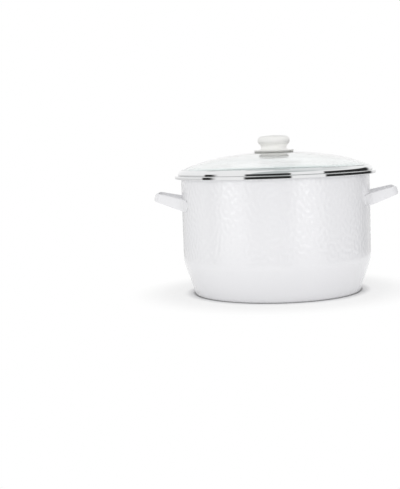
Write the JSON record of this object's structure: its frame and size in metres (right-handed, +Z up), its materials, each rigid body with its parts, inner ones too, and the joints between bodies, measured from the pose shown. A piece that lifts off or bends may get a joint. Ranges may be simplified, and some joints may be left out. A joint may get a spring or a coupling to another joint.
{
  "type": "water bath canner",
  "caption": "Enamelled round pot with a sloping foot and two strap loop handles, a domed glass lid with a steel band and a turned knob, and a wire jar rack inside.",
  "frame": {"origin": "middle of the pot's base, on the surface it stands on", "axes": "+Z up; +X through the right-hand handle; +Y to the back, away from the picture's viewer"},
  "size_m": [0.425, 0.352, 0.2749],
  "materials": {
    "enamel": "glossy mottled enamel",
    "rim_steel": "polished",
    "lid_glass": "clear",
    "knob_plastic": "satin",
    "fastener_steel": "satin",
    "seal_rubber": "matte",
    "rack_chrome": "bright"
  },
  "bodies": {
    "pot": {"pot_shell": "enamel", "pot_rim": "rim_steel", "handle_left": "enamel", "handle_right": "enamel"},
    "lid": {"lid_glass": "lid_glass", "lid_band": "rim_steel", "knob": "knob_plastic", "knob_insert": "fastener_steel", "knob_seal": "seal_rubber", "lower_seal": "seal_rubber", "lid_washer": "fastener_steel", "knob_screw": "fastener_steel"},
    "rack": {"rack_ring": "rack_chrome", "rack_leg_frame_long": "rack_chrome", "rack_leg_frame_cross": "rack_chrome", "rack_wire_01": "rack_chrome", "rack_wire_02": "rack_chrome", "rack_wire_03": "rack_chrome", "rack_wire_04": "rack_chrome", "rack_wire_05": "rack_chrome", "rack_wire_06": "rack_chrome", "rack_wire_07": "rack_chrome", "rack_wire_08": "rack_chrome", "rack_wire_09": "rack_chrome", "rack_wire_10": "rack_chrome", "rack_wire_11": "rack_chrome", "rack_wire_12": "rack_chrome", "rack_wire_13": "rack_chrome", "rack_wire_14": "rack_chrome", "rack_wire_15": "rack_chrome"}
  },
  "joints": [
    {"name": "lid_lift", "type": "slide", "parent": "pot", "child": "lid", "axis": [0, 0, 1], "range_m": [0, 0.45]},
    {"name": "rack_lift", "type": "slide", "parent": "pot", "child": "rack", "axis": [0, 0, 1], "range_m": [0, 0.27]}
  ],
  "couplings": [
    {"joint": "rack_lift", "follows": "lid_lift", "ratio": 0.6}
  ]
}
